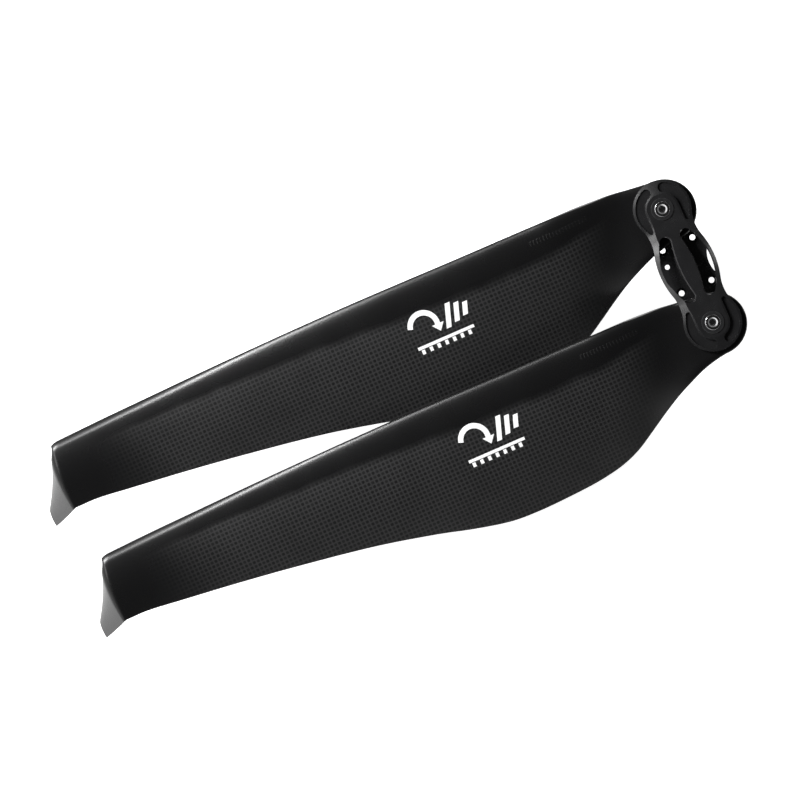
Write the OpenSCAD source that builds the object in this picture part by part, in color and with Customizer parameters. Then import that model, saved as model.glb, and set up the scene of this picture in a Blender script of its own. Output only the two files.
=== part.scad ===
// Folding two-blade propeller for a multirotor: a machined hub of two plates, with a carbon
// blade that swings on a shoulder bolt at each end. It turns clockwise seen from above.
// Origin: rotation axis, on the face that sits on the motor. +Z is the thrust side.
// At rest the blades are folded side by side and point to -Y, with leading edges to -X.

/* [Propeller] */
// Diameter swept by the tips with the blades open, 28 inches
prop_diameter = 711; // [620:1:800]
// Geometric pitch, the advance in one turn, 8 inches
prop_pitch = 203; // [150:1:250]
// Distance between the two folding axes
pivot_spacing = 59; // [57:0.5:72]

/* [Hub plates] */
// Thickness of the lower plate, which sits on the motor
base_thickness = 6; // [5.5:0.1:8]
// Thickness of the upper plate
cap_thickness = 3.5; // [3:0.1:5]
// Clear height between the plates, which holds a blade root and its washers
root_gap = 8; // [6:0.1:12]
// Radius of the round lobe at each end of a plate
lobe_radius = 14; // [13:0.1:15]
// Half width of a plate at its middle
middle_half_width = 13.9; // [12.8:0.1:15]
// Half width of a plate at its two waists
waist_half_width = 11.5; // [11:0.1:12]
// Radius of the hollow curve at a waist
waist_radius = 20; // [16:1:24]

/* [Hub windows and pockets] */
// Half width of the bar left between the two windows of the upper plate
bridge_half_width = 4.1; // [3.6:0.1:4.5]
// Width of the thin wall outside a window
window_rim = 2; // [1.6:0.1:2.6]
// Radius of a window's round ends
window_end_radius = 2.8; // [2.2:0.1:3.1]
// Distance of a window's end circle from the hub's middle, along the hub
window_end_x = 14; // [12:0.1:14.5]
// Distance of a window's end circle from the hub's long axis
window_end_y = 5.4; // [5.2:0.1:6]
// Width of the wall between a curved relief pocket and the lobe's edge
pocket_wall = 1.2; // [1:0.1:1.8]
// Width of a relief pocket
pocket_width = 4.6; // [3.6:0.1:4.8]
// Depth of a relief pocket
pocket_depth = 2.1; // [0.6:0.1:2.2]
// Straight run of a relief pocket towards the middle of the hub
pocket_run = 8.2; // [6:0.1:8.6]
// Half length of the block that joins the plates
block_half_length = 11; // [9.5:0.1:11.5]
// Half width of the block that joins the plates
block_half_width = 4.8; // [4.6:0.1:5.4]

/* [Motor mounting] */
// Radius of the bore for the motor's shaft
shaft_bore_radius = 3; // [2:0.1:3.2]
// Depth of the bore for the motor's shaft
shaft_bore_depth = 9; // [6:0.5:10]
// Spacing of the four mounting holes along the hub
mount_spacing_x = 22.4; // [20:0.1:23.5]
// Spacing of the four mounting holes across the hub
mount_spacing_y = 15.6; // [14:0.1:16]
// Radius of a mounting hole, for M2.5
mount_hole_radius = 1.4; // [1.2:0.05:1.7]
// Radius of the sunk seat for a mounting screw's head
mount_seat_radius = 2.6; // [2.4:0.1:3]
// Depth of that seat below the floor of the hub
mount_seat_depth = 3.2; // [3:0.1:3.6]
// Radius of the single index hole
index_hole_radius = 1.2; // [1:0.1:1.6]
// Radius of the scallop in the lower plate's edge
scallop_radius = 14; // [10:0.5:20]

/* [Pivot hardware] */
// Radius of the shoulder that a blade turns on
shoulder_radius = 2.5; // [2:0.1:2.8]
// Radius of the shoulder bolt's head
bolt_head_radius = 3.7; // [3.4:0.1:3.9]
// Height of the shoulder bolt's head
bolt_head_height = 2.5; // [2:0.1:3]
// Width across the flats of the bolt's hex socket
bolt_socket_flats = 2.5; // [2:0.5:3]
// Radius of the bolt's threaded end, M4
bolt_thread_radius = 1.95; // [1.5:0.05:1.95]
// Radius of the flange of the cup that the bolt's head sits in
cup_flange_radius = 5.4; // [5.2:0.1:6]
// Radius of the body of that cup
cup_body_radius = 4.7; // [4.5:0.05:4.8]
// Height of the cup's flange
cup_flange_height = 0.5; // [0.3:0.1:0.8]
// Thickness of the cup's floor
cup_floor = 0.8; // [0.6:0.1:1.0]
// Width across the flats of the lock nut
nut_flats = 7; // [6:0.5:7]
// Height of the lock nut
nut_height = 3.2; // [2.8:0.1:3.4]
// Outer radius of the sleeve in a blade's root
sleeve_radius = 4; // [3.6:0.1:4.6]
// Outer radius of a friction washer
washer_radius = 6.5; // [5.5:0.1:7.5]
// Thickness of a friction washer
washer_thickness = 0.4; // [0.3:0.05:0.8]

/* [Plate screws] */
// Distance of each screw that joins the plates from the rotation axis
plate_screw_x = 7.7; // [7.5:0.1:8]
// Radius of the screw's thread, M3
plate_screw_radius = 1.45; // [1.2:0.05:1.5]
// Radius of the screw's countersunk head
plate_screw_head_radius = 2.8; // [2.4:0.1:2.9]
// Height of the screw's countersunk head
plate_screw_head_height = 1.7; // [1.4:0.1:2]

/* [Blade] */
// Radius of the round end of a blade's root
root_radius = 15.2; // [14.8:0.1:15.5]
// How far that round end is set towards the trailing edge
root_offset = 1.3; // [0.8:0.1:1.6]
// How far the centre of that round end lies behind the folding axis
root_setback = 0.9; // [0:0.1:1.2]
// Scale of the blade's width outside the root
blade_width_scale = 1; // [0.9:0.01:1.1]
// Thickness of the airfoil where it is thickest, at the wide part
blade_thickness = 6.2; // [5:0.1:7]
// Thickness of the airfoil at the tip
tip_thickness = 2.2; // [1.8:0.1:3]
// Height of the airfoil's camber as a share of its chord
blade_camber = 0.045; // [0.02:0.005:0.06]
// Thickness of the trailing edge
trailing_edge_thickness = 0.8; // [0.6:0.1:1.2]
// Wall of the moulded carbon skin
skin_thickness = 0.75; // [0.6:0.05:0.9]

/* [Tip] */
// Angle that the tip bends down by
tip_bend_angle = 58; // [30:1:65]
// Length of the bent tip along its own surface
tip_length = 22; // [18:1:30]
// Inner radius of the bend
tip_bend_radius = 1.6; // [1.2:0.1:4]

/* [Hidden] */
$fn = 96;

eps = 0.5;                  // how far a cutter runs past the face it cuts
fit = 0.05;                 // radial clearance of a turning or threaded fit
side_gap = 0.05;            // clearance between a blade's sleeve and each washer
root_recess = 0.05;         // how far the carbon root stays below the sleeve's ends

pivot_x = pivot_spacing / 2;
gap_bottom = base_thickness;
gap_top = base_thickness + root_gap;
cap_top = gap_top + cap_thickness;
gap_middle = (gap_bottom + gap_top) / 2;
sleeve_half = root_gap / 2 - washer_thickness - side_gap;
root_half = sleeve_half - root_recess;

// ---------- Hub plates ----------

arc_step = 4;               // degrees between the points of an arc in an outline

// Points of an arc, without its last one, because the next arc of the outline starts there
function arc(middle, radius, from, to) =
    let (steps = ceil(abs(to - from) / arc_step))
    [for (i = [0 : steps - 1])
        let (a = from + (to - from) * i / steps) middle + radius * [cos(a), sin(a)]];

module at_pivots() {
    for (side = [-1, 1]) translate([side * pivot_x, 0, 0]) children();
}

// The outline is lobe, hollow waist, full middle, waist, lobe, with every arc tangent to the next.
waist_y = waist_half_width + waist_radius;
waist_x = pivot_x - sqrt(pow(lobe_radius + waist_radius, 2) - pow(waist_y, 2));
middle_rise = middle_half_width - waist_half_width;
middle_radius = (pow(waist_x, 2) + pow(middle_rise, 2)) / (2 * middle_rise) - waist_radius;
middle_y = middle_half_width - middle_radius;
middle_angle = asin(waist_x / (middle_radius + waist_radius));
lobe_angle = asin((pivot_x - waist_x) / (lobe_radius + waist_radius));

module plate_outline() {
    half = concat(
        arc([0, middle_y], middle_radius, 90 + middle_angle, 90 - middle_angle),
        arc([waist_x, waist_y], waist_radius, 270 - middle_angle, 270 + lobe_angle),
        arc([pivot_x, 0], lobe_radius, 90 + lobe_angle, -90 - lobe_angle),
        arc([waist_x, -waist_y], waist_radius, 90 - lobe_angle, 90 + middle_angle)
    );
    polygon(concat(half, [for (p = half) -p]));
}

// A window is the space between two long arcs, closed at each end by one that touches both.
window_outer_y = middle_half_width - window_rim;
window_outer_rise = window_end_y - window_outer_y;
window_outer_radius = (pow(window_end_x, 2) + pow(window_outer_rise, 2) - pow(window_end_radius, 2))
    / (-2 * (window_end_radius + window_outer_rise));
window_outer_angle = asin(window_end_x / (window_outer_radius - window_end_radius));
window_inner_rise = window_end_y - bridge_half_width;
window_inner_radius = (pow(window_end_x, 2) + pow(window_inner_rise, 2) - pow(window_end_radius, 2))
    / (2 * (window_end_radius - window_inner_rise));
window_inner_angle = asin(window_end_x / (window_inner_radius + window_end_radius));

module window_shape() {
    polygon(concat(
        arc([0, window_outer_y - window_outer_radius], window_outer_radius,
            90 + window_outer_angle, 90 - window_outer_angle),
        arc([window_end_x, window_end_y], window_end_radius,
            90 - window_outer_angle, -90 - window_inner_angle),
        arc([0, bridge_half_width - window_inner_radius], window_inner_radius,
            90 - window_inner_angle, 90 + window_inner_angle),
        arc([-window_end_x, window_end_y], window_end_radius,
            -90 + window_inner_angle, -270 + window_outer_angle)
    ));
}

// A relief pocket follows the lobe's edge, then runs straight towards the middle of the hub.
pocket_start = 204;         // direction from the pivot at which the curved stretch begins
pocket_end_radius = 1.1;
pocket_outer = lobe_radius - pocket_wall;
pocket_inner = pocket_outer - pocket_width;
pocket_radius = (pocket_outer + pocket_inner) / 2;
pocket_end = [pocket_run, -pocket_inner - pocket_end_radius];
// Direction in which the outer wall leaves its arc to meet the pocket's small round end
pocket_leave = 360 + atan2(pocket_end[1], pocket_end[0])
    - acos((pocket_outer - pocket_end_radius) / norm(pocket_end));

module pocket_shape() {
    start = pocket_radius * [cos(pocket_start), sin(pocket_start)];
    polygon(concat(
        arc([0, 0], pocket_outer, pocket_start, pocket_leave),
        arc(pocket_end, pocket_end_radius, pocket_leave, 450),
        [[pocket_run, -pocket_inner]],
        arc([0, 0], pocket_inner, 270, pocket_start),
        arc(start, pocket_width / 2, pocket_start - 180, pocket_start)
    ));
}

module pocket_set() {
    for (end = [0, 1], side = [0, 1])
        mirror([end, 0, 0]) mirror([0, side, 0]) translate([-pivot_x, 0]) pocket_shape();
}

// The block that joins the plates is a lens with round ends.
lens_share = 1.45;
lens_half_length = lens_share * block_half_length;  // where the lens would come to its points
lens_radius = (pow(lens_half_length, 2) + pow(block_half_width, 2)) / (2 * block_half_width);
module block_shape() {
    intersection() {
        circle(block_half_length);
        translate([0, block_half_width - lens_radius]) circle(lens_radius, $fn = 180);
        translate([0, lens_radius - block_half_width]) circle(lens_radius, $fn = 180);
    }
}

block_cap_share = 3;        // height of the block on the upper plate, so its screws have enough thread
block_split = gap_top - block_cap_share;
scallop_x = 3.1;            // the scallop is off centre, so the hub shows which way round it goes
scallop_bite = 3.7;
index_x = -3;
index_y = -9;
nut_recess = 0.3;           // how far the nut sits above the motor face
nut_pocket_depth = nut_height + nut_recess;
nut_circumradius = nut_flats / 2 / cos(30);
plate_screw_sink = 0.2;     // how far the head sits below the motor face
cap_thread_roof = 1.2;      // plate left above the screws' threads
cap_thread_depth = block_cap_share + cap_thickness - cap_thread_roof;
thread_end_gap = 0.4;       // between a screw's end and the end of its hole

module hub_base() color([0.09, 0.09, 0.1]) {
    difference() {
        union() {
            linear_extrude(base_thickness) plate_outline();
            linear_extrude(block_split) block_shape();
        }
        // motor side
        translate([0, 0, -eps]) cylinder(r = shaft_bore_radius, h = shaft_bore_depth + eps);
        for (sx = [-1, 1], sy = [-1, 1])
            translate([sx * mount_spacing_x / 2, sy * mount_spacing_y / 2, 0]) {
                translate([0, 0, -eps]) cylinder(r = mount_hole_radius, h = base_thickness + 2 * eps);
                translate([0, 0, base_thickness - mount_seat_depth])
                    cylinder(r = mount_seat_radius, h = mount_seat_depth + eps);
            }
        translate([index_x, index_y, -eps])
            cylinder(r = index_hole_radius, h = base_thickness + 2 * eps);
        translate([scallop_x, middle_half_width - scallop_bite + scallop_radius, -eps])
            cylinder(r = scallop_radius, h = base_thickness + 2 * eps);
        translate([0, 0, -eps]) linear_extrude(pocket_depth + eps) pocket_set();
        // pivots
        at_pivots() {
            translate([0, 0, -eps]) cylinder(r = shoulder_radius + fit, h = base_thickness + 2 * eps);
            translate([0, 0, -eps])
                cylinder(r = nut_circumradius + fit, h = nut_pocket_depth + eps, $fn = 6);
        }
        // screws that hold the upper plate
        for (side = [-1, 1]) translate([side * plate_screw_x, 0, 0]) {
            translate([0, 0, -eps]) cylinder(r = plate_screw_radius + 2 * fit, h = block_split + 2 * eps);
            translate([0, 0, -eps])
                cylinder(r = plate_screw_head_radius + fit, h = eps + plate_screw_sink);
            translate([0, 0, plate_screw_sink])
                cylinder(r1 = plate_screw_head_radius + fit, r2 = plate_screw_radius + 2 * fit,
                    h = plate_screw_head_height);
        }
    }
}

module hub_cap() color([0.09, 0.09, 0.1]) {
    difference() {
        union() {
            translate([0, 0, gap_top]) linear_extrude(cap_thickness) plate_outline();
            translate([0, 0, block_split]) linear_extrude(block_cap_share + eps) block_shape();
        }
        for (side = [0, 1]) mirror([0, side, 0])
            translate([0, 0, gap_top]) linear_extrude(cap_thickness + eps) window_shape();
        translate([0, 0, cap_top - pocket_depth]) linear_extrude(pocket_depth + eps) pocket_set();
        at_pivots() {
            translate([0, 0, gap_top - eps])
                cylinder(r = shoulder_radius + fit, h = cap_thickness + 2 * eps);
            translate([0, 0, cup_bottom]) cylinder(r = cup_body_radius + fit, h = cap_thickness);
        }
        for (side = [-1, 1]) translate([side * plate_screw_x, 0, block_split - eps])
            cylinder(r = plate_screw_radius + fit, h = cap_thread_depth + eps);
    }
}

plate_socket_flats = 2;
plate_socket_depth = 1.2;

module plate_screws() color([0.12, 0.12, 0.13]) {
    for (side = [-1, 1]) translate([side * plate_screw_x, 0, plate_screw_sink]) difference() {
        union() {
            cylinder(r1 = plate_screw_head_radius, r2 = plate_screw_radius,
                h = plate_screw_head_height);
            cylinder(r = plate_screw_radius,
                h = block_split + cap_thread_depth - plate_screw_sink - thread_end_gap);
        }
        translate([0, 0, -eps])
            cylinder(r = plate_socket_flats / 2 / cos(30), h = eps + plate_socket_depth, $fn = 6);
    }
}

// ---------- Pivot hardware ----------

cup_seat_floor = 1;         // upper plate left under a cup
cup_bottom = gap_top + cup_seat_floor;
head_bottom = cup_bottom + cup_floor;
bolt_end = 0.4;             // the threaded end stays this far inside the motor face
bolt_socket_depth = 1.6;
head_gap = 3 * fit;         // between the bolt's head and the cup

module pivot_bolt() color([0.75, 0.76, 0.78]) {
    difference() {
        union() {
            translate([0, 0, head_bottom]) cylinder(r = bolt_head_radius, h = bolt_head_height);
            translate([0, 0, nut_pocket_depth])
                cylinder(r = shoulder_radius, h = head_bottom - nut_pocket_depth);
            translate([0, 0, bolt_end]) cylinder(r = bolt_thread_radius, h = nut_pocket_depth - bolt_end);
        }
        translate([0, 0, head_bottom + bolt_head_height - bolt_socket_depth])
            cylinder(r = bolt_socket_flats / 2 / cos(30), h = bolt_socket_depth + eps, $fn = 6);
    }
}

module pivot_cup() color([0.1, 0.1, 0.11]) rotate_extrude() {
    polygon([
        [shoulder_radius + fit, cup_bottom], [cup_body_radius, cup_bottom],
        [cup_body_radius, cap_top], [cup_flange_radius, cap_top],
        [cup_flange_radius, cap_top + cup_flange_height],
        [bolt_head_radius + head_gap, cap_top + cup_flange_height],
        [bolt_head_radius + head_gap, head_bottom], [shoulder_radius + fit, head_bottom]
    ]);
}

insert_width = 0.9;
insert_radius = bolt_thread_radius + insert_width;
insert_height = 0.9;
nut_bottom = nut_pocket_depth - nut_height;

module lock_nut() color([0.68, 0.69, 0.71]) difference() {
    translate([0, 0, nut_bottom]) cylinder(r = nut_circumradius, h = nut_height, $fn = 6);
    translate([0, 0, nut_bottom - eps]) cylinder(r = bolt_thread_radius + fit, h = nut_height + 2 * eps);
    translate([0, 0, nut_bottom - eps]) cylinder(r = insert_radius + fit, h = insert_height + eps);
}

module nut_insert() color([0.2, 0.35, 0.75]) difference() {
    translate([0, 0, nut_bottom]) cylinder(r = insert_radius, h = insert_height);
    translate([0, 0, nut_bottom - eps]) cylinder(r = bolt_thread_radius + fit, h = insert_height + 2 * eps);
}

module washer(bottom) color([0.85, 0.85, 0.83]) difference() {
    translate([0, 0, bottom]) cylinder(r = washer_radius, h = washer_thickness);
    translate([0, 0, bottom - eps]) cylinder(r = shoulder_radius + fit, h = washer_thickness + 2 * eps);
}

module sleeve() color([0.72, 0.6, 0.32]) difference() {
    translate([0, 0, gap_middle - sleeve_half]) cylinder(r = sleeve_radius, h = 2 * sleeve_half);
    translate([0, 0, gap_middle - sleeve_half - eps])
        cylinder(r = shoulder_radius + fit, h = 2 * (sleeve_half + eps));
}

// ---------- Blade ----------

// In the blade's own frame the folding axis is Z, +Y runs out along the blade and +X is towards
// the leading edge. Rows: distance from the folding axis, leading edge, trailing edge.
plan = [
    [0, root_radius - root_offset, -root_radius - root_offset],
    [11, 15.2, -18.6], [20, 16.5, -21.9], [29, 17, -25.8], [38, 17.4, -30.8], [48, 17.6, -37],
    [57, 17.8, -42.2], [67, 18, -45.8], [80, 18.2, -48], [96, 18.4, -49], [112, 18.7, -49.3],
    [126, 19, -48.4], [143, 19.3, -44.6], [162, 19.5, -39.2], [191, 19.5, -32.4],
    [229, 19.1, -25.8], [258, 18.5, -21.5], [286, 17.9, -17.9], [302, 17.4, -15.9], [313, 17, -15.8]
];
plan_end = plan[len(plan) - 1][0];
root_flare = 0.1;           // how fast each edge leaves the folding axis

tip_bend_arc = tip_bend_radius * tip_bend_angle * PI / 180;
tip_bend_out = tip_bend_radius * sin(tip_bend_angle) - tip_bend_arc * cos(tip_bend_angle);
tip_line = prop_diameter / 2 - pivot_x - tip_length * cos(tip_bend_angle) - tip_bend_out;
tip_skew = -0.04;           // slope of the bend line across the blade
tip_skew_start = 280;
tip_rake = -0.06;           // slope that the bent tip adds to that at its end
tip_end_leading = -9.2;     // the bent tip narrows to the trailing side
tip_end_trailing = -20.4;
tip_leading_power = 0.72;   // how soon the bent tip's two edges turn in, later towards 1
tip_trailing_power = 0.85;
tip_corner_length = 4;      // the rounded leading corner, on each side of the bend line
tip_corner_depth = 0.9;
span_scale = tip_line / plan_end;

function smooth(x, a, b) = let (t = min(1, max(0, (x - a) / (b - a)))) t * t * (3 - 2 * t);
function mix(a, b, t) = a + (b - a) * t;

function slope_at(i, column) =
    let (last = len(plan) - 1, lo = max(0, i - 1), hi = min(last, i + 1))
    i == 0 ? root_flare * (column == 1 ? 1 : -1)
    : (plan[hi][column] - plan[lo][column]) / (plan[hi][0] - plan[lo][0]);

// Cubic curve through the rows of plan
function plan_at(y, column, i = 0) =
    i < len(plan) - 2 && y > plan[i + 1][0] ? plan_at(y, column, i + 1)
    : let (h = plan[i + 1][0] - plan[i][0], t = (y - plan[i][0]) / h,
           m0 = slope_at(i, column) * h, m1 = slope_at(i + 1, column) * h)
      (2 * t * t * t - 3 * t * t + 1) * plan[i][column] + (t * t * t - 2 * t * t + t) * m0
      + (3 * t * t - 2 * t * t * t) * plan[i + 1][column] + (t * t * t - t * t) * m1;

function width_factor(y) = mix(1, blade_width_scale, smooth(y, blend_start, full_width_at));
function round_end(y) = sqrt(pow(root_radius, 2) - pow(min(0, y + root_setback), 2));
function tip_share(y) = max(0, (y - tip_line) / tip_length);
function corner_round(y) =
    let (t = max(0, 1 - abs(y - tip_line) / tip_corner_length)) tip_corner_depth * t * t;
function leading(y) =
    y < 0 ? round_end(y) - root_offset
    : mix(plan_at(min(y / span_scale, plan_end), 1) * width_factor(y),
          tip_end_leading, pow(tip_share(y), tip_leading_power)) - corner_round(y);
function trailing(y) =
    y < 0 ? -round_end(y) - root_offset
    : mix(plan_at(min(y / span_scale, plan_end), 2) * width_factor(y),
          tip_end_trailing, pow(tip_share(y), tip_trailing_power));

blend_start = 14;           // the flat root ends here and the airfoil begins to form
blend_end = 58;
full_width_at = 40;         // from here out the blade has its full width
taper_power = 0.8;          // how soon the blade thins towards the tip, later above 1
tip_thinning = 0.7;         // thickness at the end of the bent tip, as a share
root_corner_power = 8;      // roundness of the flat root's edges, squarer when higher
root_fullness = 1.02;       // brings the flat of the root to its full height
function airfoil_share(y) = smooth(y, blend_start, blend_end);
function pitch_slope(y) =
    airfoil_share(y) * prop_pitch / (2 * PI * (pivot_x + min(max(y, blend_start), tip_line)));
function thickness(y) =
    mix(blade_thickness, tip_thickness,
        pow(min(1, max(0, (y - blend_end) / (tip_line - blend_end))), taper_power))
    * mix(1, tip_thinning, min(1, tip_share(y)));
// Half thickness of the standard four-digit airfoil over its chord, scaled to a greatest value of 1
function airfoil_half(c) =
    9.98 * (0.2969 * sqrt(c) - 0.126 * c - 0.3516 * c * c + 0.2843 * pow(c, 3) - 0.1015 * pow(c, 4));

// Height above (side 1) or below (side -1) the chord line at chord share c
function airfoil_height(y, c, side) =
    let (chord = leading(y) - trailing(y),
         half = thickness(y) / 2 * airfoil_half(c) + trailing_edge_thickness / 2 * c)
    blade_camber * chord * 4 * c * (1 - c) + side * half;
function root_height(c, side) =
    side * root_half * min(1, root_fullness
        * pow(1 - pow(abs(1 - 2 * c), root_corner_power), 1 / root_corner_power));
function section_height(y, c, side) =
    mix(root_height(c, side), airfoil_height(y, c, side), airfoil_share(y));

// The tip bends down round tip_bend_radius, then runs straight.
function bend_angle(y) = min(tip_bend_angle, max(0, (y - tip_line) / tip_bend_radius * 180 / PI));
function bend_straight(y) = max(0, y - tip_line - tip_bend_arc);
function bend_out(y) = tip_bend_radius * sin(bend_angle(y)) + bend_straight(y) * cos(tip_bend_angle);
function bend_down(y) = tip_bend_radius * (1 - cos(bend_angle(y))) + bend_straight(y) * sin(tip_bend_angle);

function blade_point(y, c, height) =
    let (x = mix(leading(y), trailing(y), c), slope = pitch_slope(y), a = bend_angle(y),
         skew = (tip_skew * smooth(y, tip_skew_start, tip_line) + tip_rake * tip_share(y)) * x,
         lean = slope / sqrt(1 + slope * slope))
    [x - height * lean,
     min(y, tip_line) + skew + bend_out(y) + height * sin(a),
     gap_middle + x * slope - bend_down(y) + height * cos(a) / sqrt(1 + slope * slope)];

ring_points = 28;
function ring(y) = [for (i = [0 : ring_points - 1])
    let (a = 360 * i / ring_points, c = (1 - cos(a)) / 2)
    blade_point(y, c, section_height(y, c, a < 180 ? 1 : -1))];

// Places of the rings, closer together where the blade's shape turns
blade_end = tip_line + tip_length;
wide_end = 170;
tip_start = tip_line - 6;
stations = concat(
    [for (a = [10 : 16 : 74]) -root_radius * cos(a) - root_setback],
    [for (y = [0 : 5 : 55]) y],
    [for (y = [62 : 9 : wide_end]) y],
    [for (t = [0.07 : 0.105 : 0.91]) mix(wide_end, tip_start, t)],
    [tip_start, tip_line - 3, tip_line - 1],
    [for (t = [0 : 0.25 : 1]) tip_line + t * tip_bend_arc],
    [for (t = [0.3, 0.5, 0.7, 0.85, 1]) mix(tip_line, blade_end, t)]
);

// Joins rings of equal length into one closed solid
module loft(rings) {
    n = len(rings[0]);
    last = len(rings) - 1;
    polyhedron(
        points = [for (r = rings) for (p = r) p],
        faces = concat(
            [[for (i = [n - 1 : -1 : 0]) i]],
            [for (k = [0 : last - 1], i = [0 : n - 1])
                let (a = k * n + i, b = k * n + (i + 1) % n) each [[a, b, b + n], [a, b + n, a + n]]],
            [[for (i = [0 : n - 1]) last * n + i]]
        ),
        convexity = 6
    );
}

// The foam core keeps one skin's thickness inside the surface, and stops short of the thin edges.
core_front = 0.05;          // chord share where the core begins
core_back = 0.74;           // chord share where it ends
core_start = 24;
core_end = tip_line - 34;
core_points = 20;
core_least_half = 0.12;     // the core's edges are at least twice this thick
core_edge_power = 0.35;     // roundness of the core's edges
core_gap = 0.06;            // clearance round the core, so that it fits its skin
core_edge_gap = 0.004;      // the same along the chord, as a share
core_end_gap = 0.1;
sleeve_bond = 0.02;         // gap for the adhesive round the sleeve
core_stations = [for (t = [0 : 1 / 22 : 1.001]) mix(core_start, core_end, t)];

function core_height(y, c, side, wall) =
    let (outer = section_height(y, c, side), other = section_height(y, c, -side),
         middle = (outer + other) / 2)
    side * max(core_least_half, side * (outer - middle) - wall) + middle;
function core_ring(y, wall, inset) = [for (i = [0 : core_points - 1])
    let (a = 360 * (i + 0.5) / core_points,
         c = mix(core_front + inset, core_back - inset, (1 - cos(a)) / 2),
         side = a < 180 ? 1 : -1,
         edge = pow(abs(sin(a)), core_edge_power),
         middle = (section_height(y, c, 1) + section_height(y, c, -1)) / 2)
    blade_point(y, c, mix(middle, core_height(y, c, side, wall), edge))];

module core_solid(wall, inset, shorten) {
    loft([for (y = core_stations)
        core_ring(min(core_end - shorten, max(core_start + shorten, y)), wall, inset)]);
}

module blade_skin() color([0.05, 0.05, 0.055]) difference() {
    loft([for (y = stations) ring(y)]);
    core_solid(skin_thickness, 0, 0);
    translate([0, 0, gap_middle - 2 * root_half])
        cylinder(r = sleeve_radius + sleeve_bond, h = 4 * root_half);
}

module blade_core() color([0.85, 0.8, 0.65])
    core_solid(skin_thickness + core_gap, core_edge_gap, core_end_gap);

// Folded blades both point to -Y.
module place_blade(side) translate([side * pivot_x, 0, 0]) rotate([0, 0, 180]) children();
module place_pivot(side) translate([side * pivot_x, 0, 0]) children();

hub_base();
hub_cap();
plate_screws();
place_pivot(-1) pivot_bolt();  // pivot_bolt_1
place_pivot(1) pivot_bolt();  // pivot_bolt_2
place_pivot(-1) pivot_cup();  // pivot_cup_1
place_pivot(1) pivot_cup();  // pivot_cup_2
place_pivot(-1) lock_nut();  // lock_nut_1
place_pivot(1) lock_nut();  // lock_nut_2
place_pivot(-1) nut_insert();  // nut_insert_1
place_pivot(1) nut_insert();  // nut_insert_2
place_pivot(-1) washer(gap_top - washer_thickness);  // upper_washer_1
place_pivot(1) washer(gap_top - washer_thickness);  // upper_washer_2
place_pivot(-1) washer(gap_bottom);  // lower_washer_1
place_pivot(1) washer(gap_bottom);  // lower_washer_2
place_blade(-1) blade_skin();  // blade_1_skin
place_blade(1) blade_skin();  // blade_2_skin
place_blade(-1) blade_core();  // blade_1_core
place_blade(1) blade_core();  // blade_2_core
place_blade(-1) sleeve();  // blade_1_sleeve
place_blade(1) sleeve();  // blade_2_sleeve
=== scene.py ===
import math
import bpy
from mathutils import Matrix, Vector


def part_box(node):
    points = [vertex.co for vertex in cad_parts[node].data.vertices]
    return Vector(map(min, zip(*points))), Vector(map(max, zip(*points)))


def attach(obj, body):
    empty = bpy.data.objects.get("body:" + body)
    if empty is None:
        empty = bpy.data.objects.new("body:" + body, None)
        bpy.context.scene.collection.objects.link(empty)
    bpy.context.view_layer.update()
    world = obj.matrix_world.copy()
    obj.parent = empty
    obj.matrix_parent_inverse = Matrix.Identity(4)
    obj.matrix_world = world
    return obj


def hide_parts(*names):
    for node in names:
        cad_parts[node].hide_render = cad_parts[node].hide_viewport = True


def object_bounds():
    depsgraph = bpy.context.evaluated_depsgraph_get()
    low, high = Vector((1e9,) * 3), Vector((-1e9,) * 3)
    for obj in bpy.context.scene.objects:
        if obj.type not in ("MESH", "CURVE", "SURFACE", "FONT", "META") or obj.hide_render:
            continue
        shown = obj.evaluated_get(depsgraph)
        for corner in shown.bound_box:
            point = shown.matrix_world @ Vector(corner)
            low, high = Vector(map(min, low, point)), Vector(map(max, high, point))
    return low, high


bl_info = {
    "name": "Folding Propeller",
    "version": (1, 0, 0),
    "blender": (4, 5, 0),
    "location": "3D View > Sidebar > Propeller",
    "description": "Builds a folding two-blade propeller round its packed frame",
    "category": "Object",
}

import bmesh
import bpy
from bpy.props import FloatProperty, FloatVectorProperty, IntProperty, PointerProperty
from mathutils import Matrix, Vector

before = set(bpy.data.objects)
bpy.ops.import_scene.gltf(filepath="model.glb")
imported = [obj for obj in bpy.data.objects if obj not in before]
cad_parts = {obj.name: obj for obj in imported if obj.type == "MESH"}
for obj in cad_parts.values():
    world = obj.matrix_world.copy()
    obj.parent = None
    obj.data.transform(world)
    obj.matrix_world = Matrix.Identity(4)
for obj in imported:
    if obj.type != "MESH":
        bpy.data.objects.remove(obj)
CAD_LOW, CAD_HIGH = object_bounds()

MM = 0.001
SIDES = {1: -1, 2: 1}  # blade number and the side of the hub that it hangs on


def middle_of(node):
    low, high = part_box(node)
    return (low + high) / 2


PIVOT_X = middle_of("upper_washer_2").x
BASE_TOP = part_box("lower_washer_2")[0].z
CAP_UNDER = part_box("upper_washer_2")[1].z
CAP_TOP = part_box("hub_cap")[1].z
BLOCK_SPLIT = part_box("hub_base")[1].z
ROOT_MIDDLE = middle_of("blade_2_sleeve").z
SLEEVE_RADIUS = (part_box("blade_2_sleeve")[1].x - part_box("blade_2_sleeve")[0].x) / 2


# ---------- Sizes and colours that a user would change ----------


def length(name, text, default):
    return FloatProperty(
        name=name, description=text, default=default * MM, unit="LENGTH", precision=4
    )


def angle(name, text, degrees):
    return FloatProperty(
        name=name, description=text, default=math.radians(degrees), subtype="ANGLE"
    )


def colour(name, text, default):
    return FloatVectorProperty(
        name=name, description=text, default=default, subtype="COLOR", size=3, min=0, max=1
    )


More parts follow.
